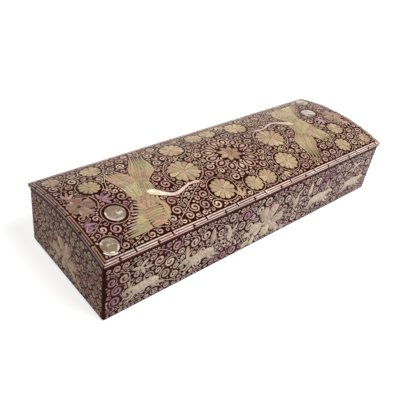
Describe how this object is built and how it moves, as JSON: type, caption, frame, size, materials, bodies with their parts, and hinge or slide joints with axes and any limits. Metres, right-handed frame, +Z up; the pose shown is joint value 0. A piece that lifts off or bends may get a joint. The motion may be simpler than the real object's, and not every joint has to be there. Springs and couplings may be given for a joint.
{
  "type": "pen box",
  "caption": "Long lacquered pen box with an arched hinged lid, mother-of-pearl inlay of cranes, flowers and fretwork, and a velvet-lined compartment.",
  "frame": {"origin": "middle of the underside, on the plane the box rests on", "axes": "+X along the box to its right-hand end, +Y from the front to the hinged back, +Z up"},
  "size_m": [0.2412, 0.0824, 0.048],
  "materials": {
    "lacquered_wood": "dark maroon lacquer, polished to a high gloss",
    "velvet": "short-pile velvet on card",
    "baize": "thin pressed felt",
    "brass": "satin, a little tarnished",
    "steel": "satin",
    "pink_shell": "polished mother-of-pearl, pink and cream",
    "gold_shell": "polished mother-of-pearl, gold",
    "green_shell": "polished mother-of-pearl, green and gold",
    "grey_shell": "polished mother-of-pearl, silver grey"
  },
  "bodies": {
    "box": {"back_lining": "velvet", "back_wall": "lacquered_wood", "base_felt": "baize", "bottom_panel": "lacquered_wood", "floor_lining": "velvet", "front_lining": "velvet", "front_peony": "pink_shell", "front_wall": "lacquered_wood", "left_end_lining": "velvet", "left_end_wall": "lacquered_wood", "left_hinge_box_leaf": "brass", "left_hinge_box_screw_1": "brass", "left_hinge_box_screw_2": "brass", "left_hinge_pin": "steel", "left_inner_deer": "grey_shell", "left_outer_deer": "grey_shell", "right_end_lining": "velvet", "right_end_wall": "lacquered_wood", "right_hinge_box_leaf": "brass", "right_hinge_box_screw_1": "brass", "right_hinge_box_screw_2": "brass", "right_hinge_pin": "steel", "right_inner_deer": "grey_shell", "right_outer_deer": "grey_shell"},
    "lid": {"lid_panel": "lacquered_wood", "lid_lining": "velvet", "left_hinge_lid_leaf": "brass", "left_hinge_lid_screw_1": "brass", "left_hinge_lid_screw_2": "brass", "right_hinge_lid_leaf": "brass", "right_hinge_lid_screw_1": "brass", "right_hinge_lid_screw_2": "brass", "back_fret": "pink_shell", "centre_rosette": "pink_shell", "front_fret": "pink_shell", "left_back_chrysanthemum": "gold_shell", "left_corner_chrysanthemum": "gold_shell", "left_corner_dome": "gold_shell", "left_crane": "green_shell", "left_end_chrysanthemum": "gold_shell", "left_end_dome": "gold_shell", "left_fret": "pink_shell", "left_front_chrysanthemum": "gold_shell", "left_great_chrysanthemum": "gold_shell", "left_plum_blossom": "pink_shell", "left_small_back_chrysanthemum": "gold_shell", "left_small_front_chrysanthemum": "gold_shell", "right_back_chrysanthemum": "gold_shell", "right_corner_chrysanthemum": "gold_shell", "right_corner_dome": "gold_shell", "right_crane": "green_shell", "right_end_chrysanthemum": "gold_shell", "right_end_dome": "gold_shell", "right_fret": "pink_shell", "right_front_chrysanthemum": "gold_shell", "right_great_chrysanthemum": "gold_shell", "right_plum_blossom": "pink_shell", "right_small_back_chrysanthemum": "gold_shell", "right_small_front_chrysanthemum": "gold_shell"}
  },
  "joints": [
    {"name": "lid_hinge", "type": "hinge", "parent": "box", "child": "lid", "pos_m": [0, 0.0413, 0.03945], "axis": [-1, 0, 0], "range_deg": [0, 100]}
  ]
}
